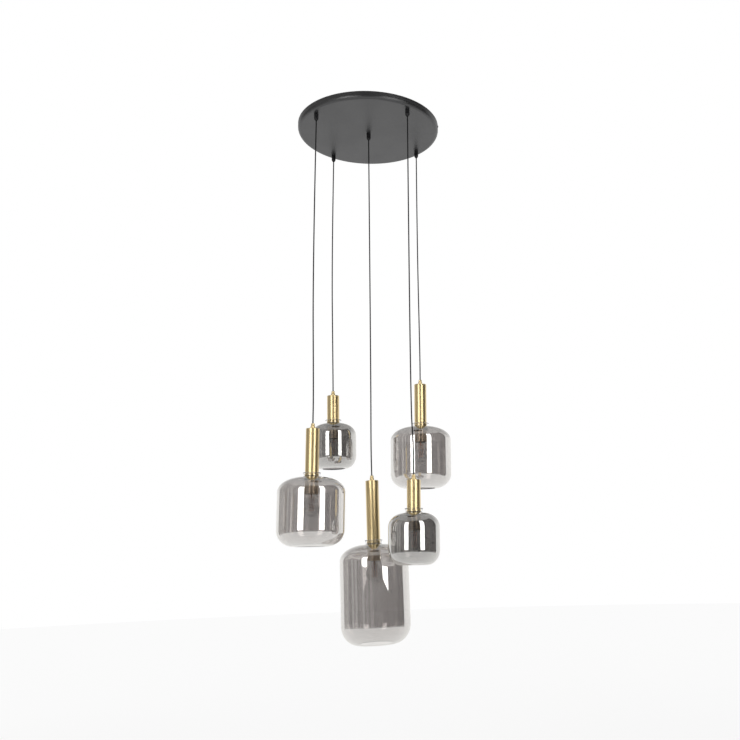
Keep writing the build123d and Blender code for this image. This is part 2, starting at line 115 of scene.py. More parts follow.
class HeadSizes(bpy.types.PropertyGroup):
    """Ferrule, tube, lampholder and shade ring."""
    ferrule_diameter: size("Ferrule", 0.015, "Base of the ferrule")
    ferrule_cap_diameter: size("Ferrule cap", 0.0125, "Cap of the ferrule")
    ferrule_height: size("Ferrule height", 0.018, "Above the tube")
    ferrule_cap_height: size("Ferrule cap height", 0.008, "Part of the height")
    cord_bore: size("Cord bore", 0.0051, "Hole for the cord")
    tube_diameter: size("Tube", 0.046, "Across the tube")
    tube_wall: size("Tube wall", 0.0012, "Thickness of the brass")
    tube_plug: size("Plug", 0.005, "Thickness of the top of the tube")
    plug_hole: size("Plug hole", 0.0102, "Hole for the thread of the ferrule")
    tube_top_radius: size("Top radius", 0.0015, "Rounding of the top edge")
    bead_height: size("Bead", 0.007, "Height of the bead")
    bead_swell: size("Bead swell", 0.0009, "How far the bead stands out")
    seat_height: size("Seat", 0.008, "Taper under the bead")
    seat_diameter: size("Seat foot", 0.041, "Foot of the taper")
    seat_bulge: size("Seat bulge", 0.0005, "Roundness of the taper")
    holder_bottom: size("Holder", 0.067, "Bead to the bottom of the sleeve")
    holder_spigot: size("Spigot", 0.020, "Part of the holder inside the tube")
    holder_mouth: size("Holder mouth", 0.036, "Across the recess")
    holder_mouth_depth: size("Holder recess", 0.008, "Depth of the recess")
    sleeve_wall: size("Sleeve", 0.0015, "Brass over the core of the holder")
    socket_diameter: size("Socket", 0.027, "Bore for the bulb's cap")
    socket_depth: size("Socket depth", 0.028, "Depth of the bore")
    ring_diameter: size("Ring", 0.0536, "Flange under the glass")
    ring_height: size("Ring height", 0.005, "Height of the flange")
    ring_collar: size("Ring collar", 0.0036, "Height of the collar")


class GlassSizes(bpy.types.PropertyGroup):
    """What the shades share."""
    wall: size("Wall", 0.003, "Thickness of the glass")
    neck_bore: size("Neck bore", 0.0498, "Hole in the neck")
    lip_diameter: size("Lip", 0.0614, "Across the flared lip")
    lip_rise: size("Lip rise", 0.005, "Lip above the top of the bead")
    neck_height: size("Neck", 0.012, "Height of the flare")
    neck_root: size("Neck root", 0.004, "Rounding under the neck")
    shoulder_drop: size("Shoulder drop", 0.010, "Bead to the top of the shoulder")


class BulbSizes(bpy.types.PropertyGroup):
    """Bulb and filament."""
    diameter: size("Bulb", 0.060, "Across the bulb")
    centre_drop: size("Centre", 0.046, "Holder to the middle of the bulb")
    glass_wall: size("Bulb glass", 0.0008, "Thickness of its glass")
    neck_diameter: size("Bulb neck", 0.0272, "Where the glass leaves the holder")
    cap_clearance: size("Cap clearance", 0.0003, "Between cap and socket")
    thread_depth: size("Thread depth", 0.0009, "Depth of the cap's thread")
    thread_pitch: size("Thread pitch", 0.0036, "Pitch of the cap's thread")
    stem_diameter: size("Stem", 0.0052, "Glass stem")
    stem_length: size("Stem length", 0.042, "Below the cap's floor")
    wire: size("Wire", 0.0012, "Thickness of the filament")
    support: size("Support", 0.0008, "Thickness of the supports")
    circle: size("Cage", 0.018, "Across the cage of wires")
    top_drop: size("Cage top", 0.009, "Holder to the top of the cage")
    length: size("Cage length", 0.046, "Height of the cage")


class Finishes(bpy.types.PropertyGroup):
    """Colours of the finishes."""
    paint: colour("Canopy paint", (0.012, 0.012, 0.013), "Powder coat of the canopy")
    plastic: colour("Grip plastic", (0.010, 0.010, 0.011), "Grips and shade rings")
    sheath: colour("Cord", (0.009, 0.009, 0.010), "Sheath of the cord")
    brass: colour("Brass", (0.83, 0.66, 0.36), "Satin brass")
    brass_dark: colour("Toned brass", (0.79, 0.62, 0.33), "Darker streaks of the brass")
    smoke: colour("Smoked glass", (0.44, 0.405, 0.395), "What one wall of the glass lets through")
    deep_smoke: colour("Deep smoked glass", (0.19, 0.178, 0.172), "The same for the small shades")
    mirror: colour("Mirror coat", (0.97, 0.96, 0.93), "Semi-mirror coat of the glass")
    filament: colour("Filament", (0.80, 0.42, 0.30), "Coppery wire")
    zinc: colour("Zinc", (0.62, 0.62, 0.60), "Bracket and locknuts")
    nylon: colour("Nylon", (0.82, 0.81, 0.77), "Terminal block")


class PendantSettings(bpy.types.PropertyGroup):
    """Everything that the panel shows."""
    canopy: bpy.props.PointerProperty(type=CanopySizes)
    head: bpy.props.PointerProperty(type=HeadSizes)
    glass: bpy.props.PointerProperty(type=GlassSizes)
    bulb: bpy.props.PointerProperty(type=BulbSizes)
    finish: bpy.props.PointerProperty(type=Finishes)
    places: bpy.props.CollectionProperty(type=PendantPlace)


def settings():
    """The settings of this scene."""
    return bpy.context.scene.cluster_pendant


def fill_places():
    """Give each pendant its place, shade and cord from the tables."""
    places = settings().places
    places.clear()
    for name, (side_x, side_y, glass, drop, shift, lean, bow, bow_share) in PENDANTS.items():
        place = places.add()
        place.name = name
        place.side_x, place.side_y, place.glass = side_x, side_y, glass
        place.drop, place.shift, place.lean = drop, shift, math.radians(lean)
        place.bow, place.bow_share = bow, bow_share
        (place.shade_diameter, place.shade_height, place.mouth_diameter,
         place.shoulder_depth, place.base_depth, place.tube_length) = SHADES[glass]


# ---------------------------------------------------------------- mesh helpers

# Steps round the turned pieces
TURNS = 96
SHADE_TURNS = 144
BULB_TURNS = 80
SMALL_TURNS = 64
STEM_TURNS = 32
CORD_TURNS = 16

# Edges with a larger angle stay sharp or are rounded off
SHARP = math.radians(32)
# Points closer than this become one
MERGE = 1e-6


def straight(start, end, steps):
    """Points along a straight stretch of an outline, without its end."""
    return [tuple(a + (b - a) * step / steps for a, b in zip(start, end)) for step in range(steps)]


def oval(centre, reach, rise, start, end, steps):
    """Points along an ellipse with upright axes, from one angle to another in degrees."""
    angles = [math.radians(start + (end - start) * step / steps) for step in range(steps + 1)]
    return [(centre[0] + reach * math.cos(a), centre[1] + rise * math.sin(a)) for a in angles]


def bulge(start, end, depth, steps):
    """Points from start to end along a shallow hump that stands out to the left of the way."""
    along = Vector(end) - Vector(start)
    out = Vector((-along.y, along.x)).normalized()
    shares = [step / steps for step in range(steps + 1)]
    return [tuple(Vector(start) + along * t + out * depth * 4 * t * (1 - t)) for t in shares]


def spun(outline, turns=TURNS, closed=True):
    """A bmesh turned about Z from an outline of (radius, height) points."""
    bm = bmesh.new()
    points = [bm.verts.new((radius, 0, height)) for radius, height in outline]
    pairs = list(zip(points, points[1:])) + ([(points[-1], points[0])] if closed else [])
    edges = [bm.edges.new(pair) for pair in pairs]
    bmesh.ops.spin(bm, geom=points + edges, cent=(0, 0, 0), axis=(0, 0, 1),
                   angle=math.tau, steps=turns, use_merge=True)
    bmesh.ops.remove_doubles(bm, verts=bm.verts, dist=MERGE)
    bmesh.ops.recalc_face_normals(bm, faces=bm.faces)
    return bm


def soften(bm, width):
    """Round the sharp edges of a bmesh."""
    sharp = [e for e in bm.edges if len(e.link_faces) == 2 and e.calc_face_angle() > SHARP]
    bmesh.ops.bevel(bm, geom=sharp, offset=width, offset_type="OFFSET", affect="EDGES",
                    segments=2, profile=0.5, material=-1, clamp_overlap=True)
    return bm


def rod(bm, start, end, diameter, sides=10):
    """Add a round rod between two points to a bmesh."""
    start, end = Vector(start), Vector(end)
    along = end - start
    turn = along.to_track_quat("Z", "Y").to_matrix().to_4x4()
    bmesh.ops.create_cone(bm, cap_ends=True, segments=sides, radius1=diameter / 2,
                          radius2=diameter / 2, depth=along.length,
                          matrix=Matrix.Translation((start + end) / 2) @ turn)


def piece(name, bm, body, materials, place, replaces):
    """Finish a bmesh as a piece that rides on a body in place of CAD nodes."""
    bm.transform(place)
    mesh = bpy.data.meshes.new(name)
    bm.to_mesh(mesh)
    bm.free()
    mesh.shade_smooth()
    mesh.set_sharp_from_angle(angle=SHARP)
    for material in materials:
        mesh.materials.append(material)
    thing = bpy.data.objects.new(name, mesh)
    bpy.context.scene.collection.objects.link(thing)
    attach(thing, body)
    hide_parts(*replaces)


def head_place(pendant):
    """Matrix that hangs a head, drawn about its bead, from the top of its ferrule."""
    canopy, head = settings().canopy, settings().head
    half = canopy.grip_spacing / 2
    top = -canopy.height - pendant.drop + head.ferrule_height
    hang = Matrix.Translation((pendant.side_x * half + pendant.shift, pendant.side_y * half, top))
    down = Matrix.Translation((0, 0, -pendant.tube_length - head.ferrule_height))
    return hang @ Matrix.Rotation(-pendant.lean, 4, "Y") @ down


# ---------------------------------------------------------------- finishes

# Range that most of a noise pattern lies in
NOISE_START, NOISE_END = 0.35, 0.65

# Colours of small or hidden pieces, of the bulbs and of what is pure white
BRONZE = (0.84, 0.68, 0.50)
NICKEL = (0.78, 0.75, 0.69)
SCREW_BLACK = (0.10, 0.10, 0.11)
CLEAR = (0.97, 0.97, 0.96)
WHITE = (1, 1, 1)

# Refraction of the shades and of the bulbs
SHADE_IOR = 1.5
BULB_IOR = 1.45


def shader(tree, kind, **inputs):
    """Add a node and set its properties and its sockets, by name or by number as in _1. A socket
    may be given a value or another node's output."""
    node = tree.nodes.new(kind)
    for name, value in inputs.items():
        if hasattr(node, name):
            setattr(node, name, value)
            continue
        number = name[1:]
        socket = node.inputs[int(number) if number.isdigit() else name.replace("_", " ")]
        if isinstance(value, bpy.types.NodeSocket):
            tree.links.new(value, socket)
        elif socket.type == "RGBA" and len(value) == 3:
            socket.default_value = (*value, 1)
        else:
            socket.default_value = value
    return node


def new_material(name):
    """A node material without nodes, and its tree."""
    material = bpy.data.materials.new(name)
    material.use_nodes = True
    material.node_tree.nodes.clear()
    return material, material.node_tree


def surfaced(material, surface):
    """A material whose surface shows the shader given."""
    tree = material.node_tree
    output = tree.nodes.new("ShaderNodeOutputMaterial")
    tree.links.new(surface.outputs[0], output.inputs["Surface"])
    return material


def grain(tree, scale, stretch=(1, 1, 1), detail=3.0):
    """Noise over the object's own coordinates, finer along the axes with a larger stretch."""
    place = shader(tree, "ShaderNodeTexCoord")
    mapped = shader(tree, "ShaderNodeMapping", Vector=place.outputs["Object"], Scale=stretch)
    return shader(tree, "ShaderNodeTexNoise", Vector=mapped.outputs[0], Scale=scale,
                  Detail=detail, Roughness=0.5).outputs["Fac"]


def between(tree, value, low, high, start=NOISE_START, end=NOISE_END):
    """A number that runs from low to high as value runs from start to end."""
    return shader(tree, "ShaderNodeMapRange", Value=value, From_Min=start, From_Max=end,
                  To_Min=low, To_Max=high).outputs[0]


def blended(tree, value, low, high, start=NOISE_START, end=NOISE_END):
    """A colour that runs from low to high as value runs from start to end."""
    share = between(tree, value, 0.0, 1.0, start, end)
    return shader(tree, "ShaderNodeMix", data_type="RGBA", Factor=share, _6=low,
                  _7=high).outputs[2]


def toned(tone, factor):
    """A colour made darker or lighter."""
    return tuple(min(1, channel * factor) for channel in tone)


def bumped(tree, height, distance, strength):
    """Surface normal from a height pattern."""
    return shader(tree, "ShaderNodeBump", Height=height, Distance=distance,
                  Strength=strength).outputs[0]


def mixed(tree, share, first, second):
    """A shader that goes from the first to the second as share goes from 0 to 1."""
    return shader(tree, "ShaderNodeMixShader", Fac=share, _1=first.outputs[0],
                  _2=second.outputs[0])


def combined(tree, operation, first, second):
    """Two numbers put together as the operation says."""
    return shader(tree, "ShaderNodeMath", operation=operation, _0=first, _1=second).outputs[0]


def glass_body(tree, tone, ior, normal):
    """Smooth glass of one tone."""
    return shader(tree, "ShaderNodeBsdfPrincipled", Base_Color=tone, Roughness=0.0, IOR=ior,
                  Transmission_Weight=1.0, Normal=normal)


def satin_brass():
    """Brushed satin brass: fine upright brushing and a little uneven tone."""
    finish = settings().finish
    material, tree = new_material("satin_brass")
    brushing = grain(tree, 1400, stretch=(1, 1, 0.006), detail=3)
    tone = grain(tree, 40, stretch=(1, 1, 0.10), detail=2)
    return surfaced(material, shader(
        tree, "ShaderNodeBsdfPrincipled", Metallic=1.0,
        Base_Color=blended(tree, tone, finish.brass_dark, finish.brass, start=0.30, end=0.52),
        Roughness=between(tree, brushing, low=0.31, high=0.36),
        Normal=bumped(tree, brushing, distance=0.00001, strength=0.15)))


def black_paint():
    """Satin powder coat with a very fine orange peel."""
    paint = settings().finish.paint
    material, tree = new_material("black_paint")
    peel = grain(tree, 420, detail=2)
    cloud = grain(tree, 9, detail=2)
    return surfaced(material, shader(
        tree, "ShaderNodeBsdfPrincipled", Specular_IOR_Level=0.85,
        Base_Color=blended(tree, cloud, paint, toned(paint, 1.35)),
        Roughness=between(tree, cloud, low=0.34, high=0.42),
        Normal=bumped(tree, peel, distance=0.0003, strength=0.12)))


def moulded_plastic(name, tone, low, high, shine=0.5, texture=0.0002):
    """Moulded plastic with a fine grain from the tool. Its roughness runs from low to high."""
    material, tree = new_material(name)
    mould = grain(tree, 1500, detail=2)
    wear = grain(tree, 60, detail=3)
    return surfaced(material, shader(
        tree, "ShaderNodeBsdfPrincipled", Specular_IOR_Level=shine,
        Base_Color=blended(tree, wear, toned(tone, 0.85), toned(tone, 1.1)),
        Roughness=between(tree, wear, low, high),
        Normal=bumped(tree, mould, texture, strength=0.25)))


def plated(name, tone, low, high, scale=70):
    """Plated or bare metal with a cloudy sheen. Its roughness runs from low to high."""
    material, tree = new_material(name)
    cloud = grain(tree, scale, detail=4)
    return surfaced(material, shader(
        tree, "ShaderNodeBsdfPrincipled", Metallic=1.0,
        Base_Color=blended(tree, cloud, toned(tone, 0.8), tone),
        Roughness=between(tree, cloud, low, high),
        Normal=bumped(tree, cloud, distance=0.0002, strength=0.1)))


def shade_waves(tree, strength):
    """Surface normal with the slow waves of blown glass."""
    waves = grain(tree, 14, stretch=(1, 1, 0.35), detail=1)
    return bumped(tree, waves, distance=0.0012, strength=strength)


def smoked_glass(name, tone):
    """Outer face of a shade: smoked glass under a semi-mirror coat, strongest at a low angle."""
    material, tree = new_material(name)
    normal = shade_waves(tree, strength=0.25)
    body = glass_body(tree, tone, SHADE_IOR, normal)
    coat = shader(tree, "ShaderNodeBsdfGlossy", Color=settings().finish.mirror, Roughness=0.02,
                  Normal=normal)
    facing = shader(tree, "ShaderNodeLayerWeight", Blend=0.5, Normal=normal).outputs["Facing"]
    share = between(tree, facing, low=0.35, high=0.64, start=0.10, end=1.0)
    return surfaced(material, mixed(tree, share, body, coat))


def uncoated_glass(name):
    """Neck and inner face of a shade, without the coat. The tone comes from the outer face."""
    material, tree = new_material(name)
    return surfaced(material, glass_body(tree, WHITE, SHADE_IOR, shade_waves(tree, strength=0.2)))


def clear_glass():
    """Clear glass of the bulbs, with the faintest unevenness."""
    material, tree = new_material("clear_glass")
    normal = bumped(tree, grain(tree, 60, detail=1), distance=0.0004, strength=0.1)
    return surfaced(material, glass_body(tree, CLEAR, BULB_IOR, normal))


_made = {}


def finish_of(name):
    """A finish by name, made once."""
    finish = settings().finish
    makers = {
        "brass": satin_brass,
        "bronze": lambda: plated("bronzed_brass", BRONZE, 0.28, 0.36, scale=40),
        "black_paint": black_paint,
        "black_plastic": lambda: moulded_plastic(
            "black_plastic", finish.plastic, 0.34, 0.48, shine=0.25),
        "cord_sheath": lambda: moulded_plastic(
            "cord_sheath", finish.sheath, 0.55, 0.70, shine=0.12, texture=0.0003),
        "nylon": lambda: moulded_plastic("white_nylon", finish.nylon, 0.40, 0.52),
        "zinc": lambda: plated("zinc_plate", finish.zinc, 0.28, 0.44),
        "nickel": lambda: plated("nickel_plate", NICKEL, 0.18, 0.30),
        "filament": lambda: plated("copper_wire", finish.filament, 0.25, 0.40),
        "screw": lambda: plated("black_screw", SCREW_BLACK, 0.30, 0.42),
        "smoke": lambda: smoked_glass("smoked_glass", finish.smoke),
        "smoke_inside": lambda: uncoated_glass("smoked_glass_inside"),
        "deep_smoke": lambda: smoked_glass("deep_smoked_glass", finish.deep_smoke),
        "clear_glass": clear_glass,
    }
    if name not in _made:
        _made[name] = makers[name]()
    return _made[name]


def dress(node, finish):
    """Give a CAD node its finish."""
    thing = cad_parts[node]
    thing.data.materials.clear()
    thing.data.materials.append(finish_of(finish))


# ---------------------------------------------------------------- canopy and cords

class PENDANT_OT_canopy(bpy.types.Operator):
    """Finish the canopy, its bracket, grips, screws and terminal block"""
    bl_idname = "pendant.canopy"
    bl_label = "Canopy"

    def execute(self, context):
        dress("canopy_pan", "black_paint")
        dress("ceiling_bracket", "zinc")
        dress("side_screws", "screw")
        dress("cord_grips", "black_plastic")
        dress("grip_locknuts", "zinc")
        dress("terminal_block", "nylon")
        dress("cord_tails", "cord_sheath")
        return {"FINISHED"}


def cord_points(pendant):
    """Route of a cord: under its neck, widest point, knee, top of the ferrule, lampholder."""
    canopy, head = settings().canopy, settings().head
    half = canopy.grip_spacing / 2
    place = head_place(pendant)
    x, y = pendant.side_x * half, pendant.side_y * half
    start = (x, y, -canopy.height - canopy.grip_height - canopy.neck_length)
    widest = (x + pendant.bow, y, -canopy.height - pendant.bow_share * pendant.drop)
    top = pendant.tube_length + head.ferrule_height
    heights = (top + canopy.knee_height, top, head.holder_spigot)
    return [start, widest] + [tuple(place @ Vector((0, 0, height))) for height in heights]


class PENDANT_OT_cords(bpy.types.Operator):
    """Hang the five cords, each with the short neck that bends under its grip"""
    bl_idname = "pendant.cords"
    bl_label = "Cords"

    def execute(self, context):
        canopy = settings().canopy
        for pendant in settings().places:
            points = cord_points(pendant)
            self.flex(pendant.name, points, canopy.cord_diameter)
            self.neck(pendant.name, Vector(points[0]), canopy)
        return {"FINISHED"}

    def flex(self, name, points, diameter):
        """The hanging cord, down to the lampholder."""
        curve = bpy.data.curves.new(f"{name}_flex", "CURVE")
        curve.dimensions = "3D"
        curve.resolution_u = 24
        curve.bevel_depth = diameter / 2
        curve.bevel_resolution = 5
        curve.use_fill_caps = True
        spline = curve.splines.new("NURBS")
        spline.points.add(len(points) - 1)
        for control, point in zip(spline.points, points):
            control.co = (*point, 1)
        spline.order_u = 3
        spline.use_endpoint_u = True
        curve.materials.append(finish_of("cord_sheath"))
        flex = bpy.data.objects.new(f"{name}_flex", curve)
        bpy.context.scene.collection.objects.link(flex)
        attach(flex, f"{name}_pendant")
        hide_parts(f"{name}_cord")
        runs = zip(points, points[1:])
        length = sum((Vector(b) - Vector(a)).length for a, b in runs)

    def neck(self, name, foot, canopy):
        """Short link with round ends, so that the cord stays whole as it swings."""
        radius = canopy.cord_diameter / 2
        outline = oval((0, 0), radius, radius, -90, 0, 6)
        outline += oval((0, canopy.neck_length), radius, radius, 0, 90, 6)
        bm = spun(outline, CORD_TURNS, closed=False)
        piece(f"{name}_flex_neck", bm, f"{name}_neck", [finish_of("cord_sheath")],
              Matrix.Translation(foot), [f"{name}_cord_neck"])


# ---------------------------------------------------------------- brass tubes

class PENDANT_OT_tubes(bpy.types.Operator):
    """Turn the brass ferrules and tubes"""
    bl_idname = "pendant.tubes"
    bl_label = "Tubes"

    def execute(self, context):
        for pendant in settings().places:
            body = f"{pendant.name}_pendant"
            place = head_place(pendant)
            piece(f"{pendant.name}_brass_ferrule", self.ferrule(pendant.tube_length), body,
                  [finish_of("brass")], place, [f"{pendant.name}_ferrule"])
            piece(f"{pendant.name}_brass_tube", self.tube(pendant.tube_length), body,
                  [finish_of("brass")], place, [f"{pendant.name}_tube"])
        return {"FINISHED"}

    def ferrule(self, foot):
        """Stepped cord grip on top of the tube."""
        head = settings().head
        bore, base = head.cord_bore / 2, head.ferrule_diameter / 2
        cap = head.ferrule_cap_diameter / 2
        step = foot + head.ferrule_height - head.ferrule_cap_height
        top = foot + head.ferrule_height
        edge = 0.0010
        groove = 0.0006
        outline = [(bore, foot), (base, foot), (base, step - edge), (base - edge, step),
                   (cap - groove, step), (cap - groove, step + groove), (cap, step + 2 * groove),
                   (cap, top - edge), (cap - edge, top), (bore, top)]
        return soften(spun(outline, SMALL_TURNS), width=0.00018)

    def tube(self, top):
        """Tube with a plugged top, a bead and a seat that tapers into the neck of the glass."""
        head = settings().head
        radius, seat = head.tube_diameter / 2, head.seat_diameter / 2
        hole, edge = head.plug_hole / 2, head.tube_top_radius
        foot = -head.bead_height - head.seat_height
        outline = [(hole, top), *oval((radius - edge, top - edge), edge, edge, 90, 0, 6)]
        outline += straight((radius, top - edge), (radius, 0), 12)[1:]
        outline += bulge((radius, 0), (radius, -head.bead_height), head.bead_swell, 12)
        outline += bulge((radius, -head.bead_height), (seat, foot), head.seat_bulge, 8)[1:]
        inner = radius - head.tube_wall
        outline += [(seat - head.tube_wall, foot), (inner, -head.bead_height)]
        outline += [(inner, top - head.tube_plug), (hole, top - head.tube_plug)]
        return spun(outline)


# ---------------------------------------------------------------- lampholders and rings

# Clearances of the holder's spigot in the tube, of the ring round the holder, of its collar in the
# neck of the glass and of its flange under the glass
SPIGOT_FIT = 0.0002
RING_FIT = 0.0002
COLLAR_FIT = 0.0003
FLANGE_GAP = 0.0001
# Rounding of plastic edges
PLASTIC_EDGE = 0.0004


class PENDANT_OT_holders(bpy.types.Operator):
    """Turn the lampholders and the rings that carry the shades"""
    bl_idname = "pendant.holders"
    bl_label = "Lampholders"

    def execute(self, context):
        for pendant in settings().places:
            body = f"{pendant.name}_pendant"
            place = head_place(pendant)
            node = f"{pendant.name}_lampholder"
            piece(f"{pendant.name}_holder_sleeve", self.sleeve(), body,
                  [finish_of("bronze")], place, [node])
            piece(f"{pendant.name}_holder_core", self.core(), body,
                  [finish_of("black_plastic")], place, [node])
            piece(f"{pendant.name}_ring", self.ring(), body,
                  [finish_of("black_plastic")], place, [f"{pendant.name}_shade_ring"])
        return {"FINISHED"}

    def sleeve(self):
        """Brass sleeve that shows under the neck of the glass, with a rolled lower edge."""
        head = settings().head
        radius, wall = head.tube_diameter / 2, head.sleeve_wall
        top, bottom = -head.bead_height - head.seat_height, -head.holder_bottom
        roll = 0.0008
        outline = [(radius - wall, top), (radius, top), (radius, bottom + roll)]
        outline += oval((radius - roll, bottom + roll), roll, roll, 0, -90, 5)[1:]
        outline += [(radius - wall, bottom)]
        return spun(outline)

    def core(self):
        """Black core with the recess and the socket for the bulb."""
        head = settings().head
        outer = head.tube_diameter / 2 - head.sleeve_wall
        spigot = head.seat_diameter / 2 - head.tube_wall - SPIGOT_FIT
        mouth, socket = head.holder_mouth / 2, head.socket_diameter / 2
        set_back = 0.0006
        rim, shoulder = -head.holder_bottom + set_back, -head.bead_height - head.seat_height
        recess = -head.holder_bottom + head.holder_mouth_depth
        outline = [(0, head.holder_spigot), (spigot, head.holder_spigot), (spigot, shoulder),
                   (outer, shoulder), (outer, rim), (mouth, rim), (mouth, recess),
                   (socket, recess), (socket, recess + head.socket_depth),
                   (0, recess + head.socket_depth)]
        return soften(spun(outline, closed=False), PLASTIC_EDGE)

    def ring(self):
        """Flange under the glass with a collar inside its neck."""
        head, glass = settings().head, settings().glass
        bore = head.tube_diameter / 2 + RING_FIT
        collar = glass.neck_bore / 2 - COLLAR_FIT
        flange = head.ring_diameter / 2
        top = -glass.shoulder_drop - glass.wall - FLANGE_GAP
        outline = [(bore, top - head.ring_height), (flange, top - head.ring_height), (flange, top),
                   (collar, top), (collar, top + head.ring_collar), (bore, top + head.ring_collar)]
        return soften(spun(outline), PLASTIC_EDGE)


# ---------------------------------------------------------------- shades

class PENDANT_OT_shades(bpy.types.Operator):
    """Blow the five smoked glass shades"""
    bl_idname = "pendant.shades"
    bl_label = "Shades"

    def execute(self, context):
        for pendant in settings().places:
            bm = spun(self.outline(pendant), SHADE_TURNS)
            self.mark_uncoated(bm, pendant)
            smoke = "deep_smoke" if pendant.glass == "small" else "smoke"
            piece(f"{pendant.name}_glass_shade", bm, f"{pendant.name}_pendant",
                  [finish_of(smoke), finish_of("smoke_inside")], head_place(pendant),
                  [f"{pendant.name}_shade"])
        return {"FINISHED"}

    def outline(self, pendant):
        """Outer face from the lip down to the mouth, then inner face back up to the lip."""
        glass = settings().glass
        wall, half = glass.wall, glass.wall / 2
        side, mouth = pendant.shade_diameter / 2, pendant.mouth_diameter / 2
        bore = glass.neck_bore / 2
        neck, root_radius = bore + wall, glass.neck_root
        lip = glass.lip_diameter / 2 - half
        neck_foot = glass.lip_rise - glass.neck_height
        top = -glass.shoulder_drop
        root = neck + root_radius
        shoulder, base = top - pendant.shoulder_depth, -pendant.shade_height + pendant.base_depth
        inner_reach, curl = side - wall, root_radius / 2
        points = oval((lip, neck_foot), lip - neck, glass.neck_height - wall, 90, 180, 10)
        points += oval((root, top + root_radius), root_radius, root_radius, 180, 270, 6)[1:]
        points += oval((root, shoulder), side - root, pendant.shoulder_depth, 90, 0, 30)[1:]
        points += straight((side, shoulder), (side, base), 10)[1:]
        points += oval((mouth, base), side - mouth, pendant.base_depth, 0, -90, 30)
        points += oval((mouth, -pendant.shade_height + half), half, half, 270, 90, 8)[1:]
        points += oval((mouth, base), side - mouth - wall, pendant.base_depth - wall,
                       -90, 0, 30)[1:]
        points += straight((inner_reach, base), (inner_reach, shoulder), 10)[1:]
        points += oval((root, shoulder), side - root - wall, pendant.shoulder_depth - wall,
                       0, 90, 30)
        points += oval((bore + curl, top - wall + curl), curl, curl, 270, 180, 6)
        points += oval((lip, neck_foot), lip - bore, glass.neck_height, 180, 90, 10)
        points += oval((lip, glass.lip_rise - half), half, half, 90, -90, 8)[1:-1]
        return points

    def mark_uncoated(self, bm, pendant):
        """Give the second material to the neck and to the inner faces: those that turn towards the
        axis, downwards in the upper half or upwards in the lower half."""
        top = -settings().glass.shoulder_drop
        neck = top + 0.002
        halfway = (top - pendant.shade_height) / 2
        for face in bm.faces:
            middle = face.calc_center_median()
            across = Vector((middle.x, middle.y, 0)).normalized()
            inward = face.normal.dot(across) < -0.02
            to_halfway = face.normal.z if middle.z < halfway else -face.normal.z
            face.material_index = 1 if middle.z > neck or inward or to_halfway > 0.3 else 0


# ---------------------------------------------------------------- bulbs

# Screw cap: sheet, contact tip, and how far its shoulder lies under its top
CAP_SHEET = 0.0006
CONTACT_RADIUS, CONTACT_HEIGHT = 0.0045, 0.0017
CAP_SHOULDER_DROP = 0.0047
# Thread: number of turns and steps along each
THREAD_TURNS, THREAD_STEPS = 5, 8
# Glass of the bulb: clearance in the cap and height of the seal in it
SEAL_FIT = 0.0002
SEAL_HEIGHT = 0.015
# Filament: wires along the cage, and how much finer they look than their nominal thickness
LEGS = 8
FINER = 0.7


